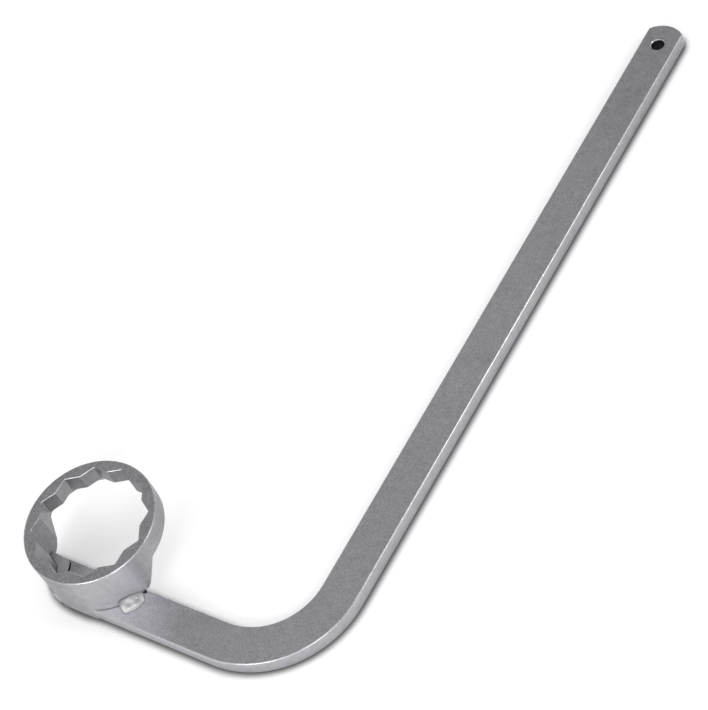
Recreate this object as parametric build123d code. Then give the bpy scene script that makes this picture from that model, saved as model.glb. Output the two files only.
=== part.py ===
from build123d import *
from math import asin, cos, degrees, hypot, radians, sin, sqrt
import os

# Oil filter cap wrench: a twelve-point ring welded on a bent flat bar.
# Millimetres. Z is the ring's axis, Z = 0 is the face the wrench lies on,
# the short leg of the bar runs along X and the long leg along Y.

# Bar
bar_width = 25.0
bar_thickness = 10.8
bar_edge_round = 1.0
bend_radius = 55.0
short_leg_length = 102.2
long_leg_length = 455.0
free_end_radius = 18.0
free_corner_round = 2.0

# Hanging hole
hole_radius = 4.5
hole_from_end = 17.6
hole_chamfer = 0.4

# Ring
across_flats = 67.0
point_count = 12
root_round = 1.5
wall_at_points = 4.7
ring_top = 43.8
band_height = 15.0
flank_height = 12.6
relief_step = 0.35
mouth_chamfer = 0.3
rim_round = 1.0

# Neck between the band and the bar
neck_top_y = -1.0
neck_foot_overhang = 4.0
neck_foot_height = 2.5
neck_foot_proud = 1.2
neck_top_round = 2.5
neck_foot_round = 1.5

# Pits left in the corner of ring and bar beside the two welds
pit_radius = 1.1
pit_depth = 3.0
pit_rise = 1.4
outer_pit_offset = 0.6
outer_pit_from_edge = 1.9
inner_pit_offset = 1.5
inner_pit_from_edge = 3.0

# How the ring sits on the bar: its edge overhangs the bar's near edge,
# and the bar's end stands a little proud of the ring
ring_overhang = 2.5
bar_end_proud = 1.3
joint_chamfer = 0.4

# Lip of the ring that reaches down beside the bar
lip_step = 0.2
lip_start = -108.5
lip_seam = 0.4

# Flat ground on the ring and its lip beside the bar
flat_height = 14.0
flat_proud = 0.6

# Weld in the outer corner
outer_weld_width = 7.6
outer_weld_height = 5.4
outer_weld_bulge = 0.9
outer_weld_end_chamfer = 1.6
outer_weld_near_clear = 9.1
outer_weld_far_clear = 3.1

# Weld in the inner corner
inner_weld_width = 11.5
inner_weld_height = 3.6
inner_weld_bulge = 0.7
inner_weld_span = 38.0

# Gap left open at the foot of the inner weld
crack_width = 1.0
crack_length = 7.2
crack_depth = 4.0
crack_in_weld = 0.6
crack_from_start = 23.5
crack_turn = 67.5

# Two sizes count as the same when they are this close
size_match = 0.01

# Sizes that follow from the ones above
half_width = bar_width / 2
tip_radius = across_flats / 2 / cos(radians(180 / point_count))
root_radius = across_flats / sqrt(3)
ring_outer_radius = root_radius + wall_at_points
bar_near_y = ring_overhang - ring_outer_radius
short_leg_y = bar_near_y + half_width
bar_far_y = short_leg_y + half_width
bend_centre_x = short_leg_length
bend_centre_y = short_leg_y + bend_radius
long_leg_x = bend_centre_x + bend_radius
free_end_y = bend_centre_y + long_leg_length
hole_y = free_end_y - hole_from_end
band_bottom = ring_top - band_height
free_corner_y = free_end_y - free_end_radius + sqrt(free_end_radius**2 - half_width**2)
lip_inner_radius = root_radius + lip_step
lip_end = -degrees(asin(-bar_near_y / ring_outer_radius))
lip_seam_angle = degrees(lip_seam / ring_outer_radius)
bar_start_x = -ring_outer_radius - bar_width
side_clear = ring_outer_radius + bar_width
flank_bottom = ring_top - flank_height
neck_foot_y = bar_far_y + neck_foot_overhang
neck_foot_z = bar_thickness + neck_foot_height
relief_radius = root_radius + relief_step
outer_pit_radius = ring_outer_radius + outer_pit_offset
outer_pit_angle = degrees(asin((bar_far_y - outer_pit_from_edge) / outer_pit_radius))
inner_pit_radius = root_radius - inner_pit_offset
inner_pit_angle = -180 + degrees(asin((inner_pit_from_edge - bar_far_y) / inner_pit_radius))
outer_weld_start = degrees(asin((bar_near_y + outer_weld_near_clear) / ring_outer_radius))
outer_weld_end = degrees(asin((bar_far_y - outer_weld_far_clear) / ring_outer_radius))
inner_weld_start = -180 + degrees(asin((bar_edge_round - bar_far_y) / root_radius))
inner_weld_end = inner_weld_start + inner_weld_span
crack_radius = root_radius - inner_weld_width + crack_in_weld
crack_place = inner_weld_start + crack_from_start


def ring_sector(inner, outer, start, end):
    """Flat piece of a ring about the origin, between two radii and two angles."""
    inside = CenterArc((0, 0), inner, start, end - start)
    outside = CenterArc((0, 0), outer, start, end - start)
    first_side = Line(inside @ 0, outside @ 0)
    last_side = Line(inside @ 1, outside @ 1)
    return make_face([inside, outside, first_side, last_side])


def bead(inner, outer, wall_at_inner, height, bulge, start, end):
    """Weld bead about the Z axis on top of the bar, with a bulging slope."""
    wall = inner if wall_at_inner else outer
    foot = outer if wall_at_inner else inner
    corner = (wall, bar_thickness)
    crest = (wall, bar_thickness + height)
    toe = (foot, bar_thickness)
    slope = hypot(foot - wall, height)
    towards_toe = 1 if wall_at_inner else -1
    middle_r = (wall + foot) / 2 + towards_toe * bulge * height / slope
    middle_z = bar_thickness + height / 2 + bulge * abs(foot - wall) / slope
    curve = ThreePointArc(crest, (middle_r, middle_z), toe)
    section = make_face([Line(corner, crest), curve, Line(toe, corner)])
    swept = revolve(Plane.XZ * section, Axis.Z, revolution_arc=end - start)
    return Rot(0, 0, start) * swept


# Outline of the bar seen from above, with straight legs and a rounded free end
near_edge = Line((bar_start_x, bar_near_y), (bend_centre_x, bar_near_y))
outer_bend = CenterArc((bend_centre_x, bend_centre_y), bend_radius + half_width, 270, 90)
outer_edge = Line(outer_bend @ 1, (long_leg_x + half_width, free_corner_y))
free_end = ThreePointArc(
    outer_edge @ 1,
    (long_leg_x, free_end_y),
    (long_leg_x - half_width, free_corner_y),
)
inner_edge = Line(free_end @ 1, (long_leg_x - half_width, bend_centre_y))
inner_bend = CenterArc((bend_centre_x, bend_centre_y), bend_radius - half_width, 0, -90)
far_edge = Line(inner_bend @ 1, (bar_start_x, bar_far_y))
cut_edge = Line(far_edge @ 1, near_edge @ 0)
bar_outline = make_face(
    [near_edge, outer_bend, outer_edge, free_end, inner_edge, inner_bend, far_edge, cut_edge]
)

# Bar with its corners at the free end and its long edges rounded
bar = extrude(bar_outline, bar_thickness)
free_corners = bar.edges().filter_by(Axis.Z).sort_by(Axis.Y)[-2:]
bar = fillet(free_corners, free_corner_round)
rims = bar.edges().group_by(Axis.Z)[0] + bar.edges().group_by(Axis.Z)[-1]
bar = fillet(rims, bar_edge_round)

# Hanging hole
hole = Pos(long_leg_x, hole_y) * extrude(Circle(hole_radius), bar_thickness)
bar -= hole
hole_rims = bar.edges().filter_by(GeomType.CIRCLE)
hole_rims = hole_rims.filter_by(lambda edge: abs(edge.radius - hole_radius) < size_match)
bar = chamfer(hole_rims, hole_chamfer)

# End of the bar under the ring, cut round a little proud of the ring
end_zone = Pos(bar_start_x / 2 - half_width, short_leg_y) * Rectangle(
    -bar_start_x, 2 * bar_width
)
kept_flush = Circle(ring_outer_radius)
kept_proud = ring_sector(
    lip_inner_radius, ring_outer_radius + bar_end_proud, -180, lip_start - lip_seam_angle
)
bar -= extrude(end_zone - kept_flush - kept_proud, bar_thickness)

# Room in the bar for the ring's lip
lip_room = ring_sector(
    lip_inner_radius, ring_outer_radius, lip_start - lip_seam_angle, lip_end
)
bar -= extrude(lip_room, bar_thickness)

# Gap at the foot of the inner weld
crack = (
    Rot(0, 0, crack_place)
    * Pos(crack_radius, 0, bar_thickness - crack_depth)
    * Rot(0, 0, crack_turn)
    * extrude(SlotOverall(crack_length, crack_width), crack_depth + inner_weld_height)
)
bar -= crack

# Pits beside the welds, in the bar and up into the ring's foot
outer_pit = Rot(0, 0, outer_pit_angle) * Pos(outer_pit_radius, 0, bar_thickness - pit_depth)
inner_pit = Rot(0, 0, inner_pit_angle) * Pos(inner_pit_radius, 0, bar_thickness - pit_depth)
pit = extrude(Circle(pit_radius), pit_depth + pit_rise)
pits = [outer_pit * pit, inner_pit * pit]
bar -= pits

# Tube that the ring is cut from, with a rounded top rim
tube = Pos(0, 0, bar_thickness) * extrude(Circle(ring_outer_radius), ring_top - bar_thickness)
ring = fillet(tube.edges().group_by(Axis.Z)[-1], rim_round)

# Twelve-point opening, which is two hexagons turned by half a point
points = []
for index in range(point_count):
    for radius, half_steps in ((root_radius, 2 * index), (tip_radius, 2 * index + 1)):
        angle = radians(half_steps * 180 / point_count)
        points.append((radius * cos(angle), radius * sin(angle)))
star = make_face(Polyline(*points, close=True))
roots = star.vertices().filter_by(
    lambda vertex: hypot(vertex.X, vertex.Y) > (root_radius + tip_radius) / 2
)
star = fillet(roots, root_round)
ring -= Pos(0, 0, bar_thickness) * extrude(star, ring_top)
mouth = ring.edges().group_by(Axis.Z)[-1].filter_by(
    lambda edge: hypot((edge @ 0.5).X, (edge @ 0.5).Y) < root_radius
)
ring = chamfer(mouth, mouth_chamfer)

# Side cut that leaves a low band and a neck sloping down to the bar
neck_top = (neck_top_y, band_bottom)
neck_foot = (neck_foot_y, neck_foot_z)
side_cut = make_face(
    Polyline(
        neck_top,
        (side_clear, band_bottom),
        (side_clear, 0),
        (bar_far_y + neck_foot_proud, 0),
        (bar_far_y + neck_foot_proud, bar_thickness),
        neck_foot,
        close=True,
    )
)
side_cut = fillet(side_cut.vertices().sort_by_distance(neck_top)[0], neck_top_round)
side_cut = fillet(side_cut.vertices().sort_by_distance(neck_foot)[0], neck_foot_round)
ring -= extrude(Plane.YZ * side_cut, side_clear, both=True)

# Plain step under the flanks of the low band
relief = Pos(0, 0, band_bottom) * extrude(Circle(relief_radius), flank_bottom - band_bottom)
far_side = Pos(0, neck_top_y + side_clear / 2) * extrude(
    Rectangle(2 * side_clear, side_clear), ring_top
)
ring -= relief & far_side

# Joint line round the ring's foot, and the pits beside the welds
foot_edges = ring.edges().group_by(Axis.Z)[0].filter_by(GeomType.CIRCLE)
foot_edges = foot_edges.filter_by(
    lambda edge: abs(edge.radius - ring_outer_radius) < size_match
)
ring = chamfer(foot_edges, joint_chamfer)
ring -= pits

# Lip that fills the joint line on the near side and reaches down beside the bar
lip_plan = ring_sector(lip_inner_radius, ring_outer_radius, lip_start, lip_end)
ring += extrude(lip_plan, bar_thickness + joint_chamfer)

# Ring and lip ground nearly flush with the bar's near side
ground_off = make_face(
    Polyline(
        (bar_near_y - flat_proud, 0),
        (-ring_outer_radius, flat_height),
        (-side_clear, flat_height),
        (-side_clear, 0),
        close=True,
    )
)
ring -= extrude(Plane.YZ * ground_off, side_clear, both=True)

# Weld in the outer corner, with sloping ends
outer_weld = bead(
    ring_outer_radius,
    ring_outer_radius + outer_weld_width,
    True,
    outer_weld_height,
    outer_weld_bulge,
    outer_weld_start,
    outer_weld_end,
)
end_edges = outer_weld.edges().filter_by(
    lambda edge: (edge @ 0.5).Z > bar_thickness + size_match
    and hypot((edge @ 0.5).X, (edge @ 0.5).Y) > ring_outer_radius + size_match
)
outer_weld = chamfer(end_edges, outer_weld_end_chamfer)
weld_root = ring_sector(
    ring_outer_radius - joint_chamfer, ring_outer_radius, outer_weld_start, outer_weld_end
)
outer_weld += Pos(0, 0, bar_thickness) * extrude(weld_root, joint_chamfer)
outer_weld -= ring

# Weld in the inner corner, which follows the flutes of the ring
inner_weld = bead(
    root_radius - inner_weld_width,
    root_radius,
    False,
    inner_weld_height,
    inner_weld_bulge,
    inner_weld_start,
    inner_weld_end,
)
over_bar = Pos(0, bar_far_y - bar_edge_round - side_clear) * extrude(
    Rectangle(2 * side_clear, 2 * side_clear), ring_top
)
inner_weld = (inner_weld & over_bar) - ring - crack - pits

# One file for each piece
os.makedirs("parts", exist_ok=True)
export_step(bar, "parts/handle_bar.step")
export_step(ring, "parts/socket_ring.step")
export_step(outer_weld, "parts/outer_weld.step")
export_step(inner_weld, "parts/inner_weld.step")
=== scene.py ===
import math

import bmesh
import bpy
from mathutils import Matrix, Vector, noise


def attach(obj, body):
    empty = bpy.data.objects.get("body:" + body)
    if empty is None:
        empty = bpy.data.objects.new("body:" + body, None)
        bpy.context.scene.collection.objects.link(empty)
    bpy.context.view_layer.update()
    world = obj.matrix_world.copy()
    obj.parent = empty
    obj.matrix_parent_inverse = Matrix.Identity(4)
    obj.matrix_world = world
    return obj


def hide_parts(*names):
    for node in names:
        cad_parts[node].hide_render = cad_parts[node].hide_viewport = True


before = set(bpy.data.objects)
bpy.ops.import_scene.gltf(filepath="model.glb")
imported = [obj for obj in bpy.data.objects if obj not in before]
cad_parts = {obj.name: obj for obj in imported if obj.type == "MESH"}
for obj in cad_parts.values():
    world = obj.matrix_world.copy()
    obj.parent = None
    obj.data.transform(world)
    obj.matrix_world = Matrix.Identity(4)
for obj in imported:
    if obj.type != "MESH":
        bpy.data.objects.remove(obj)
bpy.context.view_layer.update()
scene = bpy.context.scene

# Handle bar: flat steel bent once, with a rounded end and a hanging hole.
# It was blasted and plated, so it has a fine dull grain, faint streaks from
# rolling that run along it, brighter edges (rubbed wear together with a painted
# highlight) and a few handling smudges.
BAR_TOP = 0.0108
BEND_CENTRE = Vector((0.1022, 0.0266))
BEND_RADIUS = 0.055
HOLE = Vector((0.1572, 0.46402))
HOLE_RADIUS = 0.0045
# Centre and reach of the painted lit patch on the bar's top beside the outer weld.
LIT_PATCH_CORNER = Vector((0.020, -0.041))
LIT_PATCH_REACH = 0.058
BAR_SHADE = 0.53
BAR_GRAIN = 0.30

# Marks on the steel, in patches per metre, and how far they reach in metres
CLOUDS = 22.0
SMUDGES = 34.0
RAGGED = 90.0
MOTTLE = 240.0
RUBBING_AND_SHEEN = 300.0
SPECKLE = 850.0
PITS = 1900.0
STREAKS_ACROSS = 800.0
STREAKS_ALONG = 11.0
EDGE_WIDTH = 0.0009
CREASE_SHADE_REACH = 0.0017
PIT_DEPTH = 0.00012


class Field:
    """A value that changes over a surface. Sums and products add Math nodes."""

    def __init__(self, tree, socket=None):
        self.tree = tree
        self.socket = socket

    def node(self, kind, settings=None, inputs=None, output=0):
        """Any shader node, given its settings and the values or fields that go in."""
        made = self.tree.nodes.new(kind)
        for name, value in (settings or {}).items():
            setattr(made, name, value)
        for name, value in (inputs or {}).items():
            if isinstance(value, Field):
                self.tree.links.new(value.socket, made.inputs[name])
            else:
                made.inputs[name].default_value = value
        return Field(self.tree, made.outputs[output])

    def feed(self, shader, name):
        """Links this field to a socket of the shader."""
        self.tree.links.new(self.socket, shader.inputs[name])

    def maths(self, operation, first, second):
        return self.node("ShaderNodeMath", {"operation": operation}, {0: first, 1: second})

    def __add__(self, other):
        return self.maths("ADD", self, other)

    def __radd__(self, other):
        return self.maths("ADD", other, self)

    def __sub__(self, other):
        return self.maths("SUBTRACT", self, other)

    def __rsub__(self, other):
        return self.maths("SUBTRACT", other, self)

    def __mul__(self, other):
        return self.maths("MULTIPLY", self, other)

    def __rmul__(self, other):
        return self.maths("MULTIPLY", other, self)

    def at_least(self, other):
        return self.maths("MAXIMUM", self, other)

    def at_most(self, other):
        return self.maths("MINIMUM", self, other)

    def root(self):
        return self.maths("POWER", self, 0.5)

    def angle_from(self, x):
        """The angle about the origin, in radians, of a place whose y this is."""
        return self.maths("ARCTAN2", self, x)

    def spread(self, low, high):
        """0 at low, 1 at high, eased in between."""
        return self.node(
            "ShaderNodeMapRange",
            {"interpolation_type": "SMOOTHSTEP"},
            {"Value": self, "From Min": low, "From Max": high},
        )

    def split(self):
        """The three coordinates of this field as a place."""
        return [
            self.node("ShaderNodeSeparateXYZ", {}, {"Vector": self}, axis) for axis in "XYZ"
        ]

    def noise(self, scale, detail=2.0, rough=0.5):
        """Cloudy noise on this field as a place, from 0 to 1, in patches per metre."""
        return self.node(
            "ShaderNodeTexNoise",
            {"noise_dimensions": "3D"},
            {"Vector": self, "Scale": scale, "Detail": detail, "Roughness": rough},
        )


def finish(name, metallic):
    """A new finish: its material, its shader and the place on the piece."""
    material = bpy.data.materials.new(name)
    material.use_nodes = True
    shader = material.node_tree.nodes["Principled BSDF"]
    shader.inputs["Metallic"].default_value = metallic
    place = Field(material.node_tree).node("ShaderNodeTexCoord", output="Object")
    return material, shader, place


def clad(piece, material):
    """Gives a piece one finish in place of what it had."""
    piece.data.materials.clear()
    piece.data.materials.append(material)


def tint(place, shade, red=1.0, green=1.0, blue=1.0):
    """A colour whose brightness follows shade."""
    return place.node(
        "ShaderNodeCombineColor",
        {},
        {"Red": red * shade, "Green": green * shade, "Blue": blue * shade},
    )


def openness(place, samples, reach):
    """1 in the open, lower where other metal stands within reach."""
    return place.node(
        "ShaderNodeAmbientOcclusion", {"samples": samples}, {"Distance": reach}, "AO"
    )


def grained(place, strength, depth, height):
    """A normal that is roughened by a height."""
    return place.node(
        "ShaderNodeBump",
        {},
        {"Strength": strength, "Distance": depth, "Height": height},
        "Normal",
    )


def sharp_edges(place):
    """1 on sharp edges, fading to 0 on the flats beside them."""
    flat = place.node("ShaderNodeNewGeometry", output="Normal")
    soft = place.node("ShaderNodeBevel", {"samples": 6}, {"Radius": EDGE_WIDTH})
    same = place.node(
        "ShaderNodeVectorMath", {"operation": "DOT_PRODUCT"}, {0: flat, 1: soft}, "Value"
    )
    return (1.0 - same).spread(0.01, 0.12)


def rise(place):
    """How far a face looks up: 1 on a top, 0 on a side."""
    return place.node("ShaderNodeNewGeometry", output="Normal").split()[2]


def facing_up(place):
    """1 on faces that look up, 0 on the sides."""
    return rise(place).spread(0.80, 0.95)


def rounded_rim(place):
    """1 on the rounded upper edges, 0 on the faces that look up or sideways."""
    tilt = rise(place)
    return tilt.spread(0.20, 0.45) - tilt.spread(0.93, 0.985)


def blasted_steel(name, shade, grain, patch, streaks=None):
    """Blasted and plated steel. A patch scales its shade from place to place."""
    material, shader, place = finish(name, 1.0)
    clouds = place.noise(CLOUDS, 3.0, 0.55)
    mottle = place.noise(MOTTLE, 3.0, 0.6)
    speckle = place.noise(SPECKLE, 1.0, 0.5)
    smudge = place.noise(SMUDGES, 2.0, 0.5).spread(0.60, 0.74)
    # Edges and rounded rims are painted brighter and made smoother: partly rubbed wear, partly a
    # painted highlight.
    rubbed_and_sheen = 0.7 + place.noise(RUBBING_AND_SHEEN, 2.0).spread(0.38, 0.62) * 0.3
    wear_and_sheen = sharp_edges(place).at_least(rounded_rim(place)) * rubbed_and_sheen
    bright = (
        patch(place) * shade
        + (clouds - 0.5) * 0.06
        + (mottle - 0.5) * 0.20
        + (speckle - 0.5) * (grain * 0.2 + facing_up(place) * grain)
        - smudge * 0.035
        + wear_and_sheen * 0.32
    )
    dull = (
        0.46
        + (clouds - 0.5) * 0.14
        + (mottle - 0.5) * 0.08
        + smudge * 0.05
        - wear_and_sheen * 0.20
    )
    if streaks:
        rolled = streaks(place).noise(1.0, 3.0, 0.6)
        bright = bright + (rolled - 0.5) * 0.05
        dull = dull + (rolled - 0.5) * 0.06
    # Painted shade: darker where other surfaces stand within a short reach, in creases, corners
    # and joints.
    crease_shade = 0.42 + openness(place, 8, CREASE_SHADE_REACH).spread(0.25, 0.85) * 0.58
    cool = clouds.spread(0.42, 0.60)
    colour = tint(place, bright * crease_shade, 0.995 + cool * 0.01, 0.99, 1.022 + cool * 0.025)
    pits = place.noise(PITS, 3.0, 0.65) + mottle * 0.6
    colour.feed(shader, "Base Color")
    dull.feed(shader, "Roughness")
    grained(place, grain, PIT_DEPTH, pits).feed(shader, "Normal")
    return material


def along_bar(place):
    """The place seen from the bar: across it, through it and, stretched, along it."""
    x, y, z = place.split()
    beside = (x - BEND_CENTRE.x).at_least(0.0)
    before = (y - BEND_CENTRE.y).at_most(0.0)
    across = (beside * beside + before * before).root() - BEND_RADIUS
    return place.node(
        "ShaderNodeCombineXYZ",
        {},
        {"X": across * STREAKS_ACROSS, "Y": z * STREAKS_ACROSS, "Z": (x + y) * STREAKS_ALONG},
    )


def bar_patches(place):
    """Painted light and shade on the bar: a lit patch on its top beside the outer weld, shade on
    its sides, towards its far end and in the hanging hole.
    """
    x, y, z = place.split()
    beside = x - LIT_PATCH_CORNER.x
    behind = y - LIT_PATCH_CORNER.y
    from_corner = (beside * beside + behind * behind * 1.2).root()
    ragged = from_corner + (place.noise(RAGGED, 3.0) - 0.5) * 0.02
    # Painted light: the top is painted up to 85 % brighter in a ragged patch beside the outer
    # weld.
    painted_light = (1.0 - ragged.spread(-0.004, LIT_PATCH_REACH)) * facing_up(place)
    across = x - HOLE.x
    along = y - HOLE.y
    from_hole = (across * across + along * along).root()
    in_hole = 1.0 - from_hole.spread(HOLE_RADIUS + 0.0001, HOLE_RADIUS + 0.0004)
    # Painted shade: the hanging hole's inside is painted 80 % darker.
    hole_shade = in_hole * (1.0 - z.spread(BAR_TOP - 0.0010, BAR_TOP - 0.0006))
    # Painted shade: the bar is painted up to 12 % darker towards its far end.
    far_end_shade = y.spread(0.20, 0.48) * 0.12
    # Painted shade: the bar's sides are painted 13 % darker than its top.
    side_shade = (1.0 - facing_up(place)) * 0.13
    return (1.0 + painted_light * 0.85 - far_end_shade - side_shade) * (1.0 - hole_shade * 0.80)


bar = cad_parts["handle_bar"]
clad(bar, blasted_steel("blasted_bar_steel", BAR_SHADE, BAR_GRAIN, bar_patches, along_bar))

# Socket ring: thick steel tube with twelve points cut through it. It has the
# bar's finish, a little darker and coarser, and its cut edges are painted bright:
# rubbed wear together with a painted highlight.
RING_TOP = 0.0438
RING_RADIUS = 0.04338
OPENING_RADIUS = 0.0387
RING_SHADE = 0.45
RING_GRAIN = 0.36

# Directions about the ring's axis, in radians: the stretch over the outer
# weld where the wall is painted lighter (painted light), and the stretches on
# both sides of it where the wall is painted darker (painted shade).
LIT_STRETCH_FROM, LIT_STRETCH_MIDDLE, LIT_STRETCH_TO = -0.84, -0.47, -0.26
SHADE_UNTIL, SHADE_GONE = -1.65, -1.05
SHADE_AGAIN, SHADE_FULLY = -0.45, 0.60


def ring_patches(place):
    """Painted light and shade on the ring: darker walls in the twelve points, a darker rounded
    rim at the opening, and on the outer wall a lighter stretch over the outer weld between
    darker ones.
    """
    x, y, z = place.split()
    radius = (x * x + y * y).root()
    # Painted shade: the walls in the twelve points, below the top, are painted 22 % darker.
    opening_shade = (OPENING_RADIUS + 0.0004 - radius).spread(0.0, 0.0003)
    below = (RING_TOP - 0.0002 - z).spread(0.0, 0.0002)
    outside = radius.spread(RING_RADIUS - 0.0014, RING_RADIUS - 0.0004)
    wall = outside * (1.0 - facing_up(place))
    around = y.angle_from(x)
    painted_light = around.spread(LIT_STRETCH_FROM, LIT_STRETCH_MIDDLE)
    painted_light = painted_light - around.spread(LIT_STRETCH_MIDDLE, LIT_STRETCH_TO)
    painted_shade_stretch = 1.0 - around.spread(SHADE_UNTIL, SHADE_GONE) + around.spread(SHADE_AGAIN, SHADE_FULLY)
    # The opening's rounded rim is painted up to 55 % darker, which takes back the painted edge
    # highlight there.
    mouth_sheen_undone = rounded_rim(place) * (1.0 - radius.spread(0.0405, 0.0415))
    shade = 1.0 - opening_shade * below * 0.22 - mouth_sheen_undone * 0.55
    # Painted light and shade on the outer wall: up to 32 % lighter over the outer weld, up to 32
    # % darker on both sides.
    return shade + wall * (painted_light * 0.32 - painted_shade_stretch * 0.32)


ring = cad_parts["socket_ring"]
clad(ring, blasted_steel("blasted_ring_steel", RING_SHADE, RING_GRAIN, ring_patches))

# Outer weld: one thick bead in the corner between ring and bar, laid from the
# near end. It has a raised rim at its start, a dished middle with one small
# pore, and it was plated with the rest, so it is smoother and brighter than the
# steel around it. Part of that brightness is painted light: its finish is the
# lit copy of the weld steel whose shaded copy is the inner bead.
OUTER_WELD_START = math.radians(-47.1)
OUTER_WELD_END = math.radians(-25.9)
OUTER_WELD_HEIGHT = 0.0054
OUTER_WELD_WIDTH = 0.0076
NEAR_END_SHARE = 0.22
FAR_END_SHARE = 0.42
SKIN_STEP = 0.00022
MILLIMETRE = 0.001
WELD_CLOUDS = 170.0
WELD_PITS = 1300.0
WELD_SPECKLE = 1500.0
WELD_CREASE_SHADE_REACH = 0.002
WELD_PIT_DEPTH = 0.0001


def weld_skin(node):
    """A fine even skin of a weld's solid, ready to be sculpted."""
    solid = bpy.data.objects.new(node + "_bead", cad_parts[node].data.copy())
    scene.collection.objects.link(solid)
    welded = bmesh.new()
    welded.from_mesh(solid.data)
    bmesh.ops.remove_doubles(welded, verts=welded.verts, dist=1e-6)
    welded.to_mesh(solid.data)
    welded.free()
    remesh = solid.modifiers.new("even skin", "REMESH")
    remesh.mode = "VOXEL"
    remesh.voxel_size = SKIN_STEP
    bpy.context.view_layer.update()
    shape = solid.evaluated_get(bpy.context.evaluated_depsgraph_get())
    skin = bpy.data.meshes.new_from_object(shape)
    solid.modifiers.clear()
    solid.data = skin
    return solid


def sculpt(piece, rounds, lift, form=None):
    """Forms and softens a bead, then moves its points by what lift gives there."""
    bead = bmesh.new()
    bead.from_mesh(piece.data)
    if form:
        for point in bead.verts:
            form(point.co)
    for _ in range(rounds):
        bmesh.ops.smooth_vert(
            bead, verts=bead.verts, factor=0.5, use_axis_x=True, use_axis_y=True, use_axis_z=True
        )
    bead.normal_update()
    moves = [lift(point.co) * point.normal for point in bead.verts]
    for point, move in zip(bead.verts, moves):
        point.co += move
    for face in bead.faces:
        face.smooth = True
    bmesh.ops.recalc_face_normals(bead, faces=bead.faces)
    bead.to_mesh(piece.data)
    bead.free()


def between(value):
    """The value, held between 0 and 1."""
    return min(1.0, max(0.0, value))


def hump(value, centre, width):
    """A smooth hill of height 1 about a centre."""
    return math.exp(-(((value - centre) / width) ** 2))


def along_outer_weld(co):
    """How far along the outer bead a point is, from 0 at its start to 1 at its end."""
    return (math.atan2(co.y, co.x) - OUTER_WELD_START) / (OUTER_WELD_END - OUTER_WELD_START)


def outer_form(co):
    """Draws the bead in towards its ends, so that its foot is a rounded tongue."""
    radius = math.hypot(co.x, co.y)
    along = along_outer_weld(co)
    near = between(along / NEAR_END_SHARE)
    far = between((1.0 - along) / FAR_END_SHARE)
    width = math.sqrt(near * (2.0 - near)) * (0.25 + 0.75 * math.sqrt(far * (2.0 - far)))
    height = (0.75 + 0.25 * near) * (0.45 + 0.55 * far)
    new_radius = RING_RADIUS + (radius - RING_RADIUS) * width
    if radius > RING_RADIUS:
        co.x *= new_radius / radius
        co.y *= new_radius / radius
    co.z = BAR_TOP + (co.z - BAR_TOP) * height


def outer_lift(co):
    """The outer bead's raised rim, dish, pore and small lumps, in metres."""
    along = along_outer_weld(co)
    out = (math.hypot(co.x, co.y) - RING_RADIUS) / OUTER_WELD_WIDTH
    up = (co.z - BAR_TOP) / OUTER_WELD_HEIGHT
    free = between(out * 4.0) * between(up * 4.0)
    rim = 0.50 * hump(along, 0.13, 0.07) + 0.35 * hump(out, 0.80, 0.14) * hump(along, 0.7, 0.25)
    dish = 0.44 * hump(along, 0.40, 0.16) * hump(out, 0.45, 0.28)
    pore = 0.6 * hump(along, 0.70, 0.035) * hump(out, 0.42, 0.07)
    lumps = 0.16 * noise.noise(co * 300.0) + 0.04 * noise.noise(co * 900.0)
    return MILLIMETRE * free * (rim - dish - pore + lumps)


def weld_steel(name, shade, dullness):
    """Plated weld metal, smoother than the blasted steel around it."""
    material, shader, place = finish(name, 1.0)
    clouds = place.noise(WELD_CLOUDS, 3.0, 0.6)
    speckle = place.noise(WELD_SPECKLE, 2.0, 0.6)
    bright = shade + (clouds - 0.5) * 0.12 + (speckle - 0.5) * 0.06
    # Painted shade: darker where other surfaces stand close to the bead.
    crease_shade = 0.65 + openness(place, 8, WELD_CREASE_SHADE_REACH).spread(0.2, 0.8) * 0.35
    dull = dullness + (clouds - 0.5) * 0.12
    height = clouds * 0.8 + place.noise(WELD_PITS, 2.0, 0.6) * 0.5
    tint(place, bright * crease_shade, 0.995, 0.995, 1.015).feed(shader, "Base Color")
    dull.feed(shader, "Roughness")
    grained(place, 0.2, WELD_PIT_DEPTH, height).feed(shader, "Normal")
    return material


outer_bead = weld_skin("outer_weld")
sculpt(outer_bead, 4, outer_lift, outer_form)
clad(outer_bead, weld_steel("lit_weld_steel", 0.62, 0.48))
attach(outer_bead, "root")
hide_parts("outer_weld")

# Inner weld: a flatter, rougher bead inside the ring, on the bar's end. It was
# laid in short dabs, and its foot stops ragged beside an open gap.
INNER_WELD_HEIGHT = 0.0036
DABS_PER_RADIAN = 62.0


def inner_lift(co):
    """The inner bead's dabs and lumps, in metres."""
    free = between((co.z - BAR_TOP) / INNER_WELD_HEIGHT * 4.0)
    dabs = 0.03 * math.sin(math.atan2(co.y, co.x) * DABS_PER_RADIAN)
    lumps = 0.15 * noise.noise(co * 330.0) + 0.05 * noise.noise(co * 1000.0)
    return MILLIMETRE * free * (dabs + lumps)


inner_bead = weld_skin("inner_weld")
sculpt(inner_bead, 3, inner_lift)
# The inner bead's finish is the shaded copy of the outer bead's weld steel, painted darker:
# painted shade.
clad(inner_bead, weld_steel("shaded_weld_steel", 0.56, 0.46))
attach(inner_bead, "root")
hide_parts("inner_weld")

# Floor: a plain pale table top under the wrench. The camera and the metal see
# it near white, and it keeps the wrench's soft shadow from the table lamp. A
# darker narrow shadow where the wrench touches it is painted into its colour.
FLOOR_SIZE = 40.0
FLOOR_SHADE = 0.95
FLOOR_GLOW = 0.20
CONTACT_SHADOW_REACH = 0.0085
CONTACT_SHADOW_DEPTH = 0.81

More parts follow.
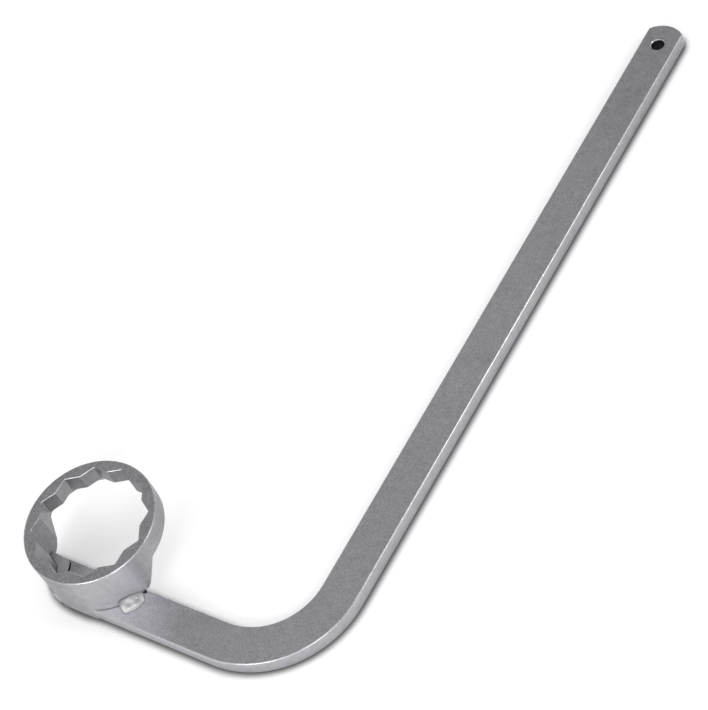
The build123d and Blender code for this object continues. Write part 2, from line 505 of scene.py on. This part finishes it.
bpy.ops.mesh.primitive_plane_add(size=FLOOR_SIZE, location=(0.1, 0.2, 0.0))
floor = bpy.context.object
floor.name = "floor"
floor_paint, floor_shader, on_floor = finish("pale_floor", 0.0)
by_camera, by_metal, by_glass = [
    on_floor.node("ShaderNodeLightPath", output=ray)
    for ray in ("Is Camera Ray", "Is Glossy Ray", "Is Transmission Ray")
]
# Painted contact shadow: the floor is painted darker where the wrench stands within reach, fully
# for the camera and at 0.36 of that for the metal's mirror rays.
open_floor = openness(on_floor, 16, CONTACT_SHADOW_REACH).spread(0.48, 0.90)
painted_contact_shadow = (1.0 - open_floor) * (0.36 + by_camera * 0.64)
pale = FLOOR_SHADE - painted_contact_shadow * CONTACT_SHADOW_DEPTH
seen = by_camera + by_metal + by_glass
tint(on_floor, pale).feed(floor_shader, "Base Color")
tint(on_floor, seen * pale * FLOOR_GLOW).feed(floor_shader, "Emission Color")
floor_shader.inputs["Emission Strength"].default_value = 1.0
floor_shader.inputs["Roughness"].default_value = 0.9
floor_shader.inputs["Specular IOR Level"].default_value = 0.0
clad(floor, floor_paint)

# Room: even grey light from all around, one wide soft lamp over the table that
# casts the shadow and that the metal doesn't mirror, and three small lamps
# that the rounded rims mirror as thin bright lines.
ROOM_GREY = (0.46, 0.46, 0.46, 1.0)
MIDDLE = (0.05, 0.1, 0.0)

world = bpy.data.worlds.new("room")
world.use_nodes = True
world.node_tree.nodes["Background"].inputs["Color"].default_value = ROOM_GREY
scene.world = world


def lamp(name, power, size, place, aim=MIDDLE):
    """A square soft lamp that hangs at a place and faces a point."""
    light = bpy.data.lights.new(name, "AREA")
    light.energy = power
    light.shape = "SQUARE"
    light.size = size
    hung = bpy.data.objects.new(name, light)
    turn = (Vector(aim) - Vector(place)).to_track_quat("-Z", "Y")
    hung.matrix_world = Matrix.Translation(place) @ turn.to_matrix().to_4x4()
    scene.collection.objects.link(hung)
    return hung


table_lamp = lamp("table_lamp", 11.0, 2.2, (-0.35, 0.3, 1.45), (0.05, 0.13, 0.0))
table_lamp.visible_glossy = False
lamp("front_lamp", 4.0, 0.5, (1.24, -0.63, 1.0))
lamp("left_lamp", 4.4, 0.6, (0.25, -1.13, 0.80))
lamp("right_lamp", 3.0, 0.5, (1.14, 0.78, 0.77))

# Camera, standing where the photograph was taken from: a long lens looking
# down on the wrench from beyond the bend, turned on its side.
CAMERA_PLACE = (0.75043, -0.33257, 1.02535)
CAMERA_RIGHT = Vector((0.82292, 0.48082, -0.30268))
CAMERA_UP = Vector((-0.25300, 0.78712, 0.56252))

lens = bpy.data.cameras.new("camera")
lens.sensor_width = 36.0
lens.lens = 106.0
lens.clip_start = 0.05
lens.clip_end = 20.0
camera = bpy.data.objects.new("camera", lens)
turn = Matrix((CAMERA_RIGHT, CAMERA_UP, CAMERA_RIGHT.cross(CAMERA_UP))).transposed()
camera.matrix_world = Matrix.Translation(CAMERA_PLACE) @ turn.to_4x4()
scene.collection.objects.link(camera)
scene.camera = camera
scene.view_settings.view_transform = "Standard"
